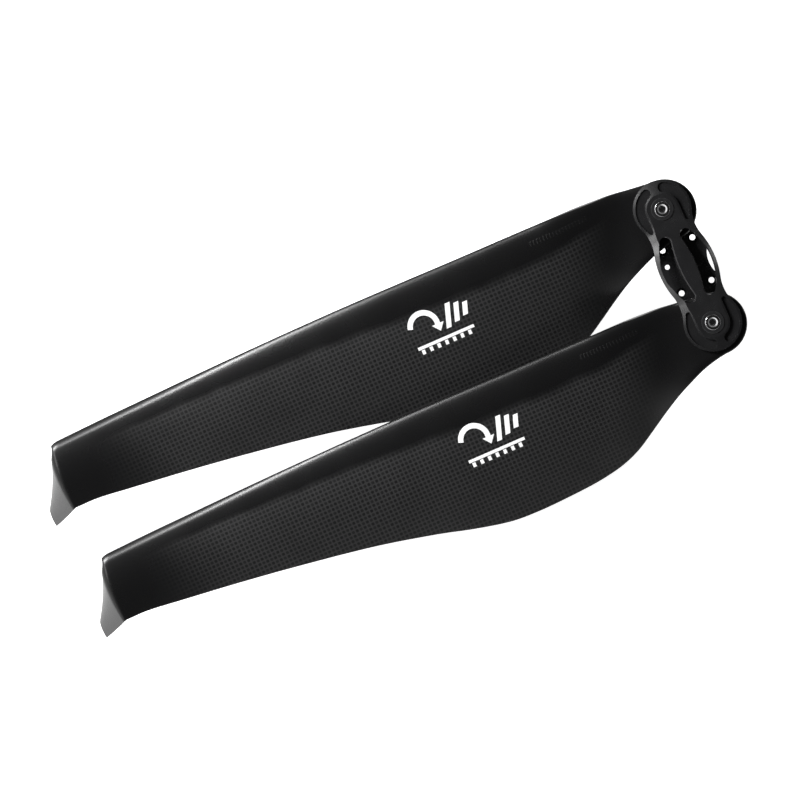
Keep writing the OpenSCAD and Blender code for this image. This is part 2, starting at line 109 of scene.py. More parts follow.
class BladeSizes(bpy.types.PropertyGroup):
    diameter: length("Diameter", "Width over both open tips", 711.0)
    root_radius: length("Root radius", "Round end of a blade's root", 15.2)
    root_offset: length("Root offset", "How far the root is set to the trailing edge", 1.3)
    root_setback: length("Root setback", "How far the root's round end lies behind its bolt", 0.9)
    root_half: length("Root half height", "Half the thickness of the flat root", 3.5)
    pitch: length("Pitch", "Advance in one turn", 203.0)
    thickness: length("Thickness", "Airfoil thickness at the wide part", 6.2)
    tip_thickness: length("Tip thickness", "Airfoil thickness at the tip", 2.2)
    trailing_edge: length("Trailing edge", "Thickness of the trailing edge", 0.8)
    camber: FloatProperty(name="Camber", description="Camber as a share of chord", default=0.045)
    tip_bend: angle("Tip bend", "Angle of the bent tip", 58)
    tip_length: length("Tip length", "Bent tip along its own surface", 22.0)
    tip_bend_radius: length("Tip bend radius", "Radius of the bend", 1.6)
    around: IntProperty(name="Points around", description="Faces round a section", default=96)


class HubSizes(bpy.types.PropertyGroup):
    lobe_radius: length("Lobe radius", "Round end of a plate", 14.0)
    middle_half_width: length("Middle half width", "Half width at the middle", 13.9)
    waist_half_width: length("Waist half width", "Half width at the waists", 11.5)
    waist_radius: length("Waist radius", "Radius of the hollow waists", 20.0)
    slope_lobe: length("Slope at a lobe", "Width of the upper plate's slope at a lobe", 6.7)
    slope_waist: length("Slope at a waist", "Width of that slope at a waist", 3.3)
    slope_middle: length("Slope at the middle", "Width of that slope beside a window", 1.45)
    slope_drop: length("Slope drop", "Fall of that slope at the edge", 1.5)
    edge: length("Edge", "Width of the small chamfers", 0.22)
    bridge_half_width: length("Bar half width", "Bar between the windows", 4.1)
    window_rim: length("Window rim", "Wall outside a window", 2.0)
    window_end_radius: length("Window end radius", "Round ends of a window", 2.8)
    window_end_x: length("Window end along", "Place of a window's end along the hub", 14.0)
    window_end_y: length("Window end across", "Place of a window's end across the hub", 5.4)
    window_chamfer: length("Window chamfer", "Chamfer along a window, on the side of the bar", 0.5)
    pocket_wall: length("Pocket wall", "Wall outside a relief pocket", 1.2)
    pocket_width: length("Pocket width", "Width of a relief pocket", 4.6)
    pocket_depth: length("Pocket depth", "Depth of a relief pocket", 2.1)
    pocket_run: length("Pocket run", "Straight stretch of a relief pocket", 8.2)
    block_half_length: length("Block half length", "Block between the plates", 11.0)
    block_half_width: length("Block half width", "Block between the plates", 4.8)
    screw_pattern_x: length("Screw pattern along", "Half spacing of the motor screws", 11.2)
    screw_pattern_y: length("Screw pattern across", "Half spacing of the motor screws", 7.8)


class HardwareSizes(bpy.types.PropertyGroup):
    shoulder_radius: length("Shoulder radius", "Shoulder that a blade turns on", 2.5)
    head_radius: length("Head radius", "Head of the shoulder bolt", 3.7)
    thread_radius: length("Thread radius", "Threaded end of the bolt", 1.95)
    thread_pitch: length("Thread pitch", "Pitch of the threads", 0.7)
    socket_flats: length("Socket flats", "Hex socket across its flats", 2.5)
    socket_depth: length("Socket depth", "Depth of the hex socket", 2.1)
    mouth_radius: length("Mouth radius", "Cone that leads into the socket", 2.35)


class Finishes(bpy.types.PropertyGroup):
    carbon_dark: colour("Carbon dark", "Cells of the cloth, and smooth resin", (0.0042, 0.0042, 0.0044))
    carbon_light: colour("Carbon light", "Lines between the cells", (0.0235, 0.0235, 0.0239))
    anodised: colour("Anodised", "Black anodised plate", (0.0060, 0.0060, 0.0064))
    decal: colour("Decal", "Printed marks", (0.86, 0.86, 0.86))
    steel: colour("Steel", "Polished bolts and nuts", (0.70, 0.70, 0.71))
    black_steel: colour("Black steel", "Cups and screws", (0.020, 0.020, 0.021))
    brass: colour("Brass", "Sleeves in the roots", (0.66, 0.47, 0.17))
    washer: colour("Washer", "Friction washers", (0.70, 0.69, 0.64))
    nylon: colour("Nylon", "Insert of a lock nut", (0.03, 0.10, 0.42))
    foam: colour("Foam", "Core of a blade", (0.75, 0.70, 0.55))
    tow: length("Tow", "Width of one tow of the cloth", 2.05)


class StageSettings(bpy.types.PropertyGroup):
    camera_distance: length("Camera distance", "From the middle of the part", 3060.0)
    lens: FloatProperty(name="Lens", description="Focal length", default=287.8, unit="CAMERA")
    tilt: angle("Tilt", "Camera turned about X", -2.24)
    lean: angle("Lean", "Camera turned about Y", -1.09)
    roll: angle("Roll", "Camera turned about Z", 65.84)
    floor_gap: length("Floor gap", "Room between the part and the floor", 20.0)
    floor_glow: FloatProperty(name="Floor glow", description="Light of the lit floor", default=0.86)
    wall_bright: FloatProperty(name="Bright wall", description="Light on the bright side", default=1.45)
    wall_dim: FloatProperty(name="Dim wall", description="Light on the other side", default=0.22)
    wall_start: angle("Wall start", "Elevation at which the walls begin to darken", 18)
    wall_end: angle("Wall end", "Elevation above which it is dark", 62)
    zenith: FloatProperty(name="Zenith", description="Light from overhead", default=0.015)
    edge_watts: FloatProperty(name="Edge light", description="Power", unit="POWER", default=3.0)
    hub_watts: FloatProperty(name="Hub light", description="Power", unit="POWER", default=3)
    key_watts: FloatProperty(name="Key light", description="Power", unit="POWER", default=62)


# ---------- Shader helpers ----------


class Value:
    """A socket that takes part in Python expressions; each operator adds a Math node."""

    def __init__(self, shader, socket):
        self.shader = shader
        self.socket = socket

    def math(self, operation, *others):
        return self.shader.node("ShaderNodeMath", {"operation": operation}, [self, *others])

    def __add__(self, other):
        return self.math("ADD", other)

    def __sub__(self, other):
        return self.math("SUBTRACT", other)

    def __mul__(self, other):
        return self.math("MULTIPLY", other)

    def __truediv__(self, other):
        return self.math("DIVIDE", other)

    def __pow__(self, other):
        return self.math("POWER", other)

    def __rsub__(self, other):
        return self.shader.node("ShaderNodeMath", {"operation": "SUBTRACT"}, [other, self])

    def __neg__(self):
        return self * -1

    def __abs__(self):
        return self.math("ABSOLUTE")

    __radd__ = __add__
    __rmul__ = __mul__


class Shader:
    """A tree with one closing shader node, and one method that adds any other node."""

    def __init__(self, owner, closing="Principled BSDF"):
        if isinstance(owner, str):
            owner = bpy.data.materials.new(owner)
        self.material = owner
        owner.use_nodes = True
        self.tree = owner.node_tree
        self.surface = self.tree.nodes[closing]

    def node(self, kind, settings=None, inputs=(), output=0):
        made = self.tree.nodes.new(kind)
        for key, setting in (settings or {}).items():
            setattr(made, key, setting)
        pairs = inputs.items() if isinstance(inputs, dict) else enumerate(inputs)
        for key, value in pairs:
            self.join(made.inputs[key], value)
        return Value(self, made.outputs[output])

    def join(self, socket, value):
        """Links a value to a socket, or sets the socket to a number or a colour."""
        if isinstance(value, Value):
            self.tree.links.new(value.socket, socket)
        else:
            socket.default_value = (*value, 1) if isinstance(value, tuple) else value

    def set(self, **values):
        """Sets or links inputs of the closing node; an underscore stands for a space."""
        for key, value in values.items():
            self.join(self.surface.inputs[key.replace("_", " ")], value)

    def step(self, value, low, high):
        """0 below low, 1 above high, smooth between."""
        return self.node(
            "ShaderNodeMapRange", {"interpolation_type": "SMOOTHSTEP"},
            {"Value": value, "From Min": low, "From Max": high},
        )

    def within(self, value, half, soft):
        """1 where value lies within half of 0."""
        return 1 - self.step(abs(value), half - soft, half + soft)

    def either(self, *masks):
        result = masks[0]
        for mask in masks[1:]:
            result = result.math("MAXIMUM", mask)
        return result

    def blend(self, share, a, b):
        """Colour a where share is 0 and b where it is 1."""
        return self.node("ShaderNodeMix", {"data_type": "RGBA"}, {0: share, 6: a, 7: b}, 2)

    def uv(self, name):
        return self.parts(self.node("ShaderNodeUVMap", {"uv_map": name}))

    def parts(self, vector):
        """The three parts of a vector, each as a value."""
        split = self.node("ShaderNodeSeparateXYZ", inputs=[vector]).socket.node
        return [Value(self, socket) for socket in split.outputs]

    def place(self):
        return self.node("ShaderNodeTexCoord", output="Object")

    def noise(self, scale, detail=3, vector=None):
        return self.node("ShaderNodeTexNoise", inputs={
            "Vector": vector or self.place(), "Scale": scale, "Detail": detail,
        })

    def bump(self, height, distance):
        inputs = {"Height": height, "Distance": distance}
        self.set(Normal=self.node("ShaderNodeBump", inputs=inputs))


def tint(setting, factor=1.0):
    """A colour from the settings, made darker or lighter by a factor."""
    return tuple(part * factor for part in setting)


# ---------- Mesh helpers ----------


def finish_piece(name, mesh, body, material, replaces, sharp=35):
    """Makes an object of a mesh, shades it and hands it to the frame."""
    piece = bpy.data.objects.new(name, mesh)
    bpy.context.collection.objects.link(piece)
    mesh.materials.clear()
    mesh.materials.append(material)
    mesh.shade_smooth()
    mesh.set_sharp_from_angle(angle=math.radians(sharp))
    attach(piece, body)
    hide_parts(*replaces)
    return piece


def paint(node, material):
    """Gives a CAD piece that stays in view its finish."""
    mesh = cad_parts[node].data
    mesh.materials.clear()
    mesh.materials.append(material)


def mesh_of(bm, name):
    bmesh.ops.recalc_face_normals(bm, faces=bm.faces)
    mesh = bpy.data.meshes.new(name)
    bm.to_mesh(mesh)
    bm.free()
    return mesh


def arc(middle, radius, start, end, step=math.radians(2.5)):
    """Points of an arc, without its last one, because the next arc starts there."""
    count = math.ceil(abs(end - start) / step - 1e-6)
    angles = [start + (end - start) * i / count for i in range(count)]
    return [(middle[0] + radius * math.cos(a), middle[1] + radius * math.sin(a)) for a in angles]


def hexagon(x, corner, turn=0.0):
    """Corners of a hexagon round a point of the X axis."""
    turns = [math.pi * k / 3 + turn for k in range(6)]
    return [(x + corner * math.cos(a), corner * math.sin(a)) for a in turns]


def add_prism(bm, points, low, high):
    """Adds the closed solid between two heights over an outline."""
    face = bm.faces.new([bm.verts.new((x, y, low)) for x, y in points])
    grown = bmesh.ops.extrude_face_region(bm, geom=[face])["geom"]
    tops = [v for v in grown if isinstance(v, bmesh.types.BMVert)]
    bmesh.ops.translate(bm, verts=tops, vec=(0, 0, high - low))


def add_lathe(bm, profile, x=0.0, y=0.0, segments=64):
    """Adds the closed solid that a profile of radius and height sweeps round a vertical axis."""
    made = [bm.verts.new((x + r, y, z)) for r, z in profile]
    edges = [bm.edges.new(pair) for pair in zip(made, made[1:])]
    bmesh.ops.spin(
        bm, geom=made + edges, axis=(0, 0, 1), cent=(x, y, 0), steps=segments,
        angle=2 * math.pi, use_merge=True,
    )
    bmesh.ops.remove_doubles(bm, verts=bm.verts, dist=1e-7)


def cylinder_profile(radius, low, high):
    return [(0, low), (radius, low), (radius, high), (0, high)]


def temporary(bm, name):
    """An object that only lives until a cut is made."""
    piece = bpy.data.objects.new(name, mesh_of(bm, name))
    bpy.context.collection.objects.link(piece)
    return piece


def carved(name, body, cutter, operation="DIFFERENCE"):
    """The mesh left when one bmesh is carved with another."""
    main, tool = temporary(body, name), temporary(cutter, name + "_tool")
    cut = main.modifiers.new("Cut", "BOOLEAN")
    cut.operation, cut.object, cut.solver = operation, tool, "EXACT"
    bpy.context.view_layer.update()
    shown = main.evaluated_get(bpy.context.evaluated_depsgraph_get())
    mesh = bpy.data.meshes.new_from_object(shown)
    for spare in (main, tool):
        spent = spare.data
        bpy.data.objects.remove(spare)
        bpy.data.meshes.remove(spent)
    if not mesh.polygons:
        raise RuntimeError(f"carving {name} left nothing")
    mesh.name = name
    return mesh


def soften(piece, width):
    """Gives a piece its small machined chamfers."""
    edge = piece.modifiers.new("Edges", "BEVEL")
    edge.width, edge.segments, edge.limit_method = width, 2, "ANGLE"
    edge.angle_limit = math.radians(35)
    edge.miter_outer = "MITER_ARC"


# ---------- Blade ----------

# Distance from the folding axis, leading edge and trailing edge, in millimetres
PLAN = [
    (11, 15.2, -18.6), (20, 16.5, -21.9), (29, 17.0, -25.8), (38, 17.4, -30.8),
    (48, 17.6, -37.0), (57, 17.8, -42.2), (67, 18.0, -45.8), (80, 18.2, -48.0),
    (96, 18.4, -49.0), (112, 18.7, -49.3), (126, 19.0, -48.4), (143, 19.3, -44.6),
    (162, 19.5, -39.2), (191, 19.5, -32.4), (229, 19.1, -25.8), (258, 18.5, -21.5),
    (286, 17.9, -17.9), (302, 17.4, -15.9), (313, 17.0, -15.8),
]
LEADING, TRAILING = 1, 2  # columns of the plan


def smooth(x, a, b):
    t = min(1.0, max(0.0, (x - a) / (b - a)))
    return t * t * (3 - 2 * t)


def mix(a, b, t):
    return a + (b - a) * t


class BladeShape:
    """The blade's surface: +Y runs out along the blade and +X is towards the leading edge."""

    root_flare, root_fullness, root_corner_power = 0.1, 1.02, 8
    taper_power, tip_thinning = 0.8, 0.7
    series_scale = 9.98  # brings the thickest place of the airfoil series to 1
    blend_start, blend_end = 14 * MM, 58 * MM
    skew, skew_start, rake = -0.04, 280 * MM, -0.06
    tip_end_leading, tip_end_trailing = -9.2 * MM, -20.4 * MM
    leading_power, trailing_power = 0.72, 0.85
    corner_length, corner_depth = 4 * MM, 0.9 * MM
    droop, droop_start, droop_run = 0.9 * MM, 190 * MM, 3.6 * MM
    fine_run = 8 * MM  # stretch before the bend with closer stations

    def __init__(self, sizes):
        self.s = sizes
        radius, bend = sizes.tip_bend_radius, sizes.tip_bend
        self.bend_arc = radius * bend
        bend_out = radius * math.sin(bend) - self.bend_arc * math.cos(bend)
        reach = sizes.diameter / 2 - PIVOT_X
        self.tip_line = reach - sizes.tip_length * math.cos(bend) - bend_out
        root = (0.0, sizes.root_radius - sizes.root_offset, -sizes.root_radius - sizes.root_offset)
        self.rows = [root] + [tuple(v * MM for v in row) for row in PLAN]
        self.scale = self.tip_line / self.rows[-1][0]

    def slope_at(self, i, column):
        if i == 0:
            return self.root_flare if column == LEADING else -self.root_flare
        low, high = self.rows[i - 1], self.rows[min(len(self.rows) - 1, i + 1)]
        return (high[column] - low[column]) / (high[0] - low[0])

    def plan(self, y, column):
        """A smooth curve through one column of the plan."""
        y = min(y / self.scale, self.rows[-1][0])
        i = max(k for k in range(len(self.rows) - 1) if k == 0 or y > self.rows[k][0])
        start, end = self.rows[i], self.rows[i + 1]
        span = end[0] - start[0]
        t = (y - start[0]) / span
        m0, m1 = self.slope_at(i, column) * span, self.slope_at(i + 1, column) * span
        return (
            (2 * t**3 - 3 * t**2 + 1) * start[column] + (t**3 - 2 * t**2 + t) * m0
            + (3 * t**2 - 2 * t**3) * end[column] + (t**3 - t**2) * m1
        )

    def edge_at(self, y, column):
        """Where an edge lies, with the round root and the swept tip."""
        sign = 1 if column == LEADING else -1
        if y < 0:
            across = self.s.root_radius**2 - min(0, y + self.s.root_setback) ** 2
            return sign * math.sqrt(max(0, across)) - self.s.root_offset
        share = max(0, (y - self.tip_line) / self.s.tip_length)
        if column == TRAILING:
            return mix(self.plan(y, column), self.tip_end_trailing, share**self.trailing_power)
        near = max(0, 1 - abs(y - self.tip_line) / self.corner_length)
        swept = mix(self.plan(y, column), self.tip_end_leading, share**self.leading_power)
        return swept - self.corner_depth * near**2

    def airfoil_share(self, y):
        return smooth(y, self.blend_start, self.blend_end)

    def pitch_slope(self, y):
        """Rise of the chord line across the blade, from the pitch."""
        at = PIVOT_X + min(max(y, self.blend_start), self.tip_line)
        return self.airfoil_share(y) * self.s.pitch / (2 * math.pi * at)

    def thickness(self, y):
        along = min(1, max(0, (y - self.blend_end) / (self.tip_line - self.blend_end)))
        tip = min(1, max(0, (y - self.tip_line) / self.s.tip_length))
        tapered = mix(self.s.thickness, self.s.tip_thickness, along**self.taper_power)
        return tapered * mix(1, self.tip_thinning, tip)

    def height(self, y, c, side):
        """Height over the chord line: c runs from the leading to the trailing edge."""
        chord = max(self.edge_at(y, LEADING) - self.edge_at(y, TRAILING), 1e-6)
        series = (
            0.2969 * math.sqrt(c) - 0.126 * c - 0.3516 * c**2 + 0.2843 * c**3 - 0.1015 * c**4
        )
        half = self.thickness(y) / 2 * self.series_scale * series + self.s.trailing_edge / 2 * c
        nose = max(0, 1 - (1 - c) * 2 * chord / self.s.trailing_edge)
        half *= math.sqrt(max(0, 1 - nose**2))
        near_tip = smooth(y, self.droop_start, self.tip_line)
        droop = self.droop * near_tip * max(0, 1 - c * chord / self.droop_run) ** 2
        airfoil = self.s.camber * chord * 4 * c * (1 - c) + side * half - droop
        power = self.root_corner_power
        square = min(1, self.root_fullness * max(0, 1 - abs(1 - 2 * c) ** power) ** (1 / power))
        past = min(1, max(0, -(y + self.s.root_setback) / self.s.root_radius))
        root = side * self.s.root_half * square * max(0, 1 - past**power) ** (1 / power)
        return mix(root, airfoil, self.airfoil_share(y))

    def point(self, y, c, side):
        """A point of the skin, twisted, swept and bent down at the tip."""
        height = self.height(y, c, side)
        x = mix(self.edge_at(y, LEADING), self.edge_at(y, TRAILING), c)
        slope = self.pitch_slope(y)
        stretch = math.sqrt(1 + slope * slope)
        radius, bend = self.s.tip_bend_radius, self.s.tip_bend
        turned = min(bend, max(0, (y - self.tip_line) / radius))
        straight = max(0, y - self.tip_line - self.bend_arc)
        out = radius * math.sin(turned) + straight * math.cos(bend)
        down = radius * (1 - math.cos(turned)) + straight * math.sin(bend)
        share = max(0, (y - self.tip_line) / self.s.tip_length)
        skew = (self.skew * smooth(y, self.skew_start, self.tip_line) + self.rake * share) * x
        return Vector((
            x - height * slope / stretch,
            min(y, self.tip_line) + skew + out + height * math.sin(turned),
            ROOT_MIDDLE + x * slope - down + height * math.cos(turned) / stretch,
        ))

    def stations(self):
        """Places along the blade, closer together where its shape turns."""
        back, end = self.s.root_setback, self.tip_line + self.s.tip_length
        degrees = [0, 2, 4, 7, 11, 16, 22, 29, 37, 46, 55, 64, 73, 82, 90]
        spots = [-self.s.root_radius * math.cos(math.radians(a)) - back for a in degrees]
        before, after = self.tip_line - self.fine_run, self.tip_line + self.bend_arc
        spans = [  # start, end and number of steps
            (0, self.blend_end, 26), (self.blend_end, before, 84), (before, self.tip_line, 10),
            (self.tip_line, after, 8), (after, end, 16),
        ]
        for low, high, count in spans:
            spots += [mix(low, high, i / count) for i in range(count)]
        return spots + [end]


def blade_mesh(shape, side, name):
    """Rolls a grid into the blade's skin, closes its end and drills the hole for the sleeve."""
    spots = shape.stations()
    around = shape.s.around
    bm = bmesh.new()
    bmesh.ops.create_grid(bm, x_segments=around, y_segments=len(spots) - 1, size=1)
    span, section = bm.loops.layers.uv.new("span"), bm.loops.layers.uv.new("section")
    kept = {}
    for vert in bm.verts:
        u, v = (vert.co.x + 1) / 2, (vert.co.y + 1) / 2
        y = spots[round(v * (len(spots) - 1))]
        c = (1 + math.cos(2 * math.pi * u)) / 2
        vert.co = shape.point(y, c, 1 if u < 0.5 else -1)
        kept[vert] = (u, y, c)
    for face in bm.faces:
        for loop in face.loops:
            u, y, c = kept[loop.vert]
            loop[span].uv = (mix(shape.edge_at(y, LEADING), shape.edge_at(y, TRAILING), c), y)
            loop[section].uv = (c, u)
    bmesh.ops.transform(
        bm, verts=bm.verts,
        matrix=Matrix.Translation((side * PIVOT_X, 0, 0)) @ Matrix.Rotation(math.pi, 4, "Z"),
    )
    bmesh.ops.remove_doubles(bm, verts=bm.verts, dist=2e-6)
    bmesh.ops.dissolve_degenerate(bm, edges=bm.edges, dist=1e-7)
    bmesh.ops.holes_fill(bm, edges=[e for e in bm.edges if e.is_boundary])
    hole, reach = bmesh.new(), 10 * MM
    add_lathe(hole, cylinder_profile(SLEEVE_RADIUS, ROOT_MIDDLE - reach, ROOT_MIDDLE + reach),
              x=side * PIVOT_X)
    return carved(name, bm, hole)


def bar_mask(shader, x, y, half_x, half_y, soft=0.08 * MM):
    """1 in a bar round (0, 0), with a soft edge."""
    return shader.within(x, half_x, soft) * shader.within(y, half_y, soft)


MARK_ALONG, MARK_ACROSS = 119.5 * MM, -5.2 * MM  # middle of the printed mark


def decal_mask(shader, across, along):
    """A turning arrow with speed bars over a scale line, seen from above."""
    x, y = -(along - MARK_ALONG), across - MARK_ACROSS
    soft, lean = 0.08 * MM, 0.35
    middle_x, middle_y, radius, half = -7 * MM, 1.5 * MM, 6.6 * MM, 1.25 * MM
    ring_end, head_size, head_slope = 1.2 * MM, 3.0 * MM, 0.8
    bars_x, bars_y, bar_pitch = 5.6 * MM, 1.9 * MM, 4.4 * MM
    bar_height, bar_loss = 5.6 * MM, 1.3 * MM
    scale_x, scale_half, line_y, line_half = 0.5 * MM, 14.5 * MM, -7.4 * MM, 0.75 * MM
    first_tick, tick_pitch, tick_y, tick_half = -14 * MM, 4.0 * MM, -9.6 * MM, 1.1 * MM
    dx, dy = x - middle_x, y - middle_y
    rho = (dx * dx + dy * dy) ** 0.5
    open_side = shader.step(dy + dx * lean, -ring_end, 0.2 * MM - ring_end)
    ring = shader.within(rho - radius, half, soft) * open_side
    hx, hy = dx - radius, dy + ring_end
    head = shader.step(-hy, -0.1 * MM, 0.1 * MM) * shader.step(
        head_size - abs(hx) - abs(hy) * head_slope, -soft, soft)
    slant = x - bars_x - (y - middle_y) * lean
    bars = [bar_mask(shader, slant - i * bar_pitch, y - bars_y, half, bar_height - i * bar_loss)
            for i in range(3)]
    line = bar_mask(shader, x - scale_x, y - line_y, scale_half, line_half)
    tick = ((x - first_tick) / tick_pitch).math("FRACT") - 0.5
    ticks = shader.within(tick, 0.2, 0.02) * bar_mask(
        shader, x - scale_x, y - tick_y, scale_half, tick_half)
    return shader.either(ring, head, *bars, line, ticks)


# Where the cloth begins to show and is full: a share of the chord, and distances along and across
CLOTH_NOSE, CLOTH_ROOT, CLOTH_EDGE = (0.22, 0.31), (29 * MM, 60 * MM), (0.0, 6 * MM)
CLOTH_TIP = (250 * MM, 300 * MM)  # where it begins to fade and where it is gone
ROOT_SLANT, ROOT_SLANT_AXIS, EDGE_SLANT = 0.42, -7 * MM, 0.4


def carbon_material(finish):
    """Moulded carbon: plain cloth in the middle, smooth edges and root, printed marks on top."""
    shader = Shader("moulded_carbon")
    across, along, _ = shader.uv("span")
    chord, around, _ = shader.uv("section")
    tow = finish.tow
    wave_x = (across * (math.pi / tow)).math("SINE")
    wave_y = (along * (math.pi / tow)).math("SINE")
    cell = abs(wave_x * wave_y)
    parity = shader.step(wave_x * wave_y, -0.12, 0.12)
    patch = shader.noise(55, 2)
    front = shader.step(chord + patch * 0.05, *CLOTH_NOSE)
    start = along + (across - ROOT_SLANT_AXIS) * ROOT_SLANT
    cloth = front * shader.step(start, *CLOTH_ROOT) * (1 - shader.step(along, *CLOTH_TIP))
    cloth = cloth * shader.step(-across + EDGE_SLANT * along, *CLOTH_EDGE)
    dark = shader.step(cell, 0.12, 0.70) * (0.84 + parity * 0.16)
    light = (1 - dark) * (0.75 + patch * 0.5)
    base = shader.blend(cloth * light, tint(finish.carbon_dark), tint(finish.carbon_light))
    top = 1 - shader.step(around, 0.4995, 0.5005)  # the upper side is the first half of a round
    mark = decal_mask(shader, across, along) * top
    shader.set(
        Base_Color=shader.blend(mark, base, tint(finish.decal)),
        Roughness=(0.24 + cloth * 0.12 + patch * 0.06) * (1 - mark) + mark * 0.5,
        Specular_IOR_Level=0.38,
    )
    tick_pitch, ticks_along, ticks_across, ticks_reach = 1.7 * MM, 50 * MM, 11.5 * MM, 15 * MM
    tick = (along / tick_pitch).math("FRACT") - 0.5
    ticks = shader.within(tick, 0.22, 0.05) * bar_mask(
        shader, along - ticks_along, across - ticks_across, ticks_reach, 1.0 * MM, 0.15 * MM)
    fine = shader.noise(2600, 2)
    shader.bump(cloth * cell * 0.5 + ticks * top * 1.4 + mark * 0.35 + fine * 0.05, 0.05 * MM)
    return shader.material


class PROPELLER_OT_blades(bpy.types.Operator):
    """Make the two carbon blades with their bent tips"""

    bl_idname = "propeller.blades"
    bl_label = "Blades"

    def execute(self, context):
        shape = BladeShape(context.scene.propeller_blade)
        carbon = carbon_material(context.scene.propeller_finish)
        for number, side in SIDES.items():
            mesh = blade_mesh(shape, side, f"blade_{number}_shell")
            finish_piece(
                f"blade_{number}_shell", mesh, f"blade_{number}", carbon,
                replaces=[f"blade_{number}_skin"], sharp=50,
            )
        return {"FINISHED"}


# ---------- Hub plates ----------


class HubShape:
    """Outlines of the plates, their windows and their pockets, and the plates' fixed details."""

    waist_span, lobe_span = (3 * MM, 15 * MM), (17 * MM, 27 * MM)  # where the slope widens
    pocket_start, pocket_corner = math.radians(204), 1.1 * MM
    lens_point, lens_share = 1.45, 0.93
    block_lap, base_edge = 0.5 * MM, 0.45 * MM
    pivot_hole, cup_seat, cup_floor = 2.55 * MM, 4.75 * MM, 1 * MM
    shaft_radius, shaft_depth = 3.0 * MM, 9.0 * MM
    mount_hole, mount_seat, mount_floor = 1.4 * MM, 2.6 * MM, 2.8 * MM
    index_hole, index_x, index_y = 1.2 * MM, -3.0 * MM, -9.0 * MM
    scallop, scallop_x, scallop_out = 14 * MM, 3.1 * MM, 10.3 * MM
    nut_corner, nut_room, cut_lap = 4.09 * MM, 3.5 * MM, 0.1 * MM
    screw_x, screw_hole, thread_hole, thread_roof = 7.7 * MM, 1.55 * MM, 1.5 * MM, 1.2 * MM
    screw_head, screw_rim, screw_cone = 2.85 * MM, 0.2 * MM, 1.9 * MM

    def __init__(self, sizes):
        self.s = sizes
        lobe, waist = sizes.lobe_radius, sizes.waist_radius
        self.waist_y = sizes.waist_half_width + waist
        self.waist_x = PIVOT_X - math.sqrt((lobe + waist) ** 2 - self.waist_y**2)
        rise = sizes.middle_half_width - sizes.waist_half_width
        self.middle_radius = (self.waist_x**2 + rise**2) / (2 * rise) - waist
        self.middle_y = sizes.middle_half_width - self.middle_radius
        self.middle_angle = math.asin(self.waist_x / (self.middle_radius + waist))
        self.lobe_angle = math.asin((PIVOT_X - self.waist_x) / (lobe + waist))

    def plateau(self):
        """The flat top's outline: the slope is wide at the lobes and narrow at the middle."""
        s = self.s
        points = []
        for (x, y), (nx, ny) in zip(self.plate(), self.normals()):
            along = abs(x)
            depth = mix(s.slope_middle, s.slope_waist, smooth(along, *self.waist_span))
            depth = mix(depth, s.slope_lobe, smooth(along, *self.lobe_span))
            points.append((x - nx * depth, y - ny * depth))
        return points

    def normals(self):
        """Unit normals of the plate's outline, found by moving it inwards a little."""
        tiny = 0.01 * MM
        pairs = zip(self.plate(), self.plate(tiny))
        return [((x - u) / tiny, (y - v) / tiny) for (x, y), (u, v) in pairs]

    def plate(self, inset=0.0):
        """The plate's outline, moved inwards; every arc keeps its centre."""
        quarter = math.pi / 2
        middle, lobe = self.middle_angle, self.lobe_angle
        waist_radius = self.s.waist_radius + inset
        half = (
            arc((0, self.middle_y), self.middle_radius - inset, quarter + middle, quarter - middle)
            + arc((self.waist_x, self.waist_y), waist_radius, 3 * quarter - middle, 3 * quarter + lobe)
            + arc((PIVOT_X, 0), self.s.lobe_radius - inset, quarter + lobe, -quarter - lobe)
            + arc((self.waist_x, -self.waist_y), waist_radius, quarter - lobe, quarter + middle)
        )
        return half + [(-x, -y) for x, y in half]

    def window(self, flare=0.0):
        """A window; flare widens it on the side of the bar, for a chamfer."""
        s, quarter = self.s, math.pi / 2
        x, y, end = s.window_end_x, s.window_end_y - flare / 2, s.window_end_radius + flare / 2
        bar = s.bridge_half_width - flare
        outer_y = s.middle_half_width - s.window_rim
        rise = y - outer_y
        outer = (x**2 + rise**2 - end**2) / (-2 * (end + rise))
        outer_angle = math.asin(x / (outer - end))
        rise = y - bar
        inner = (x**2 + rise**2 - end**2) / (2 * (end - rise))
        inner_angle = math.asin(x / (inner + end))
        return (
            arc((0, outer_y - outer), outer, quarter + outer_angle, quarter - outer_angle)
            + arc((x, y), end, quarter - outer_angle, -quarter - inner_angle)
            + arc((0, bar - inner), inner, quarter - inner_angle, quarter + inner_angle)
            + arc((-x, y), end, -quarter + inner_angle, -3 * quarter + outer_angle)
        )

    def pocket(self):
        """A relief pocket beside the pivot on the -X side, narrowing towards the middle."""
        s, start, quarter = self.s, self.pocket_start, math.pi / 2
        outer = s.lobe_radius - s.pocket_wall
        inner = outer - s.pocket_width
        middle, end, small = (outer + inner) / 2, s.pocket_run, self.pocket_corner
        reach = math.hypot(end, inner + small)
        leave = 4 * quarter - math.atan2(inner + small, end) - math.acos((outer - small) / reach)
        tail = (middle * math.cos(start), middle * math.sin(start))
        points = (
            arc((0, 0), outer, start, leave)
            + arc((end, -inner - small), small, leave, 5 * quarter) + [(end, -inner)]
            + arc((0, 0), inner, 3 * quarter, start)
            + arc(tail, s.pocket_width / 2, start - 2 * quarter, start)
        )
        return [(x - PIVOT_X, y) for x, y in points]

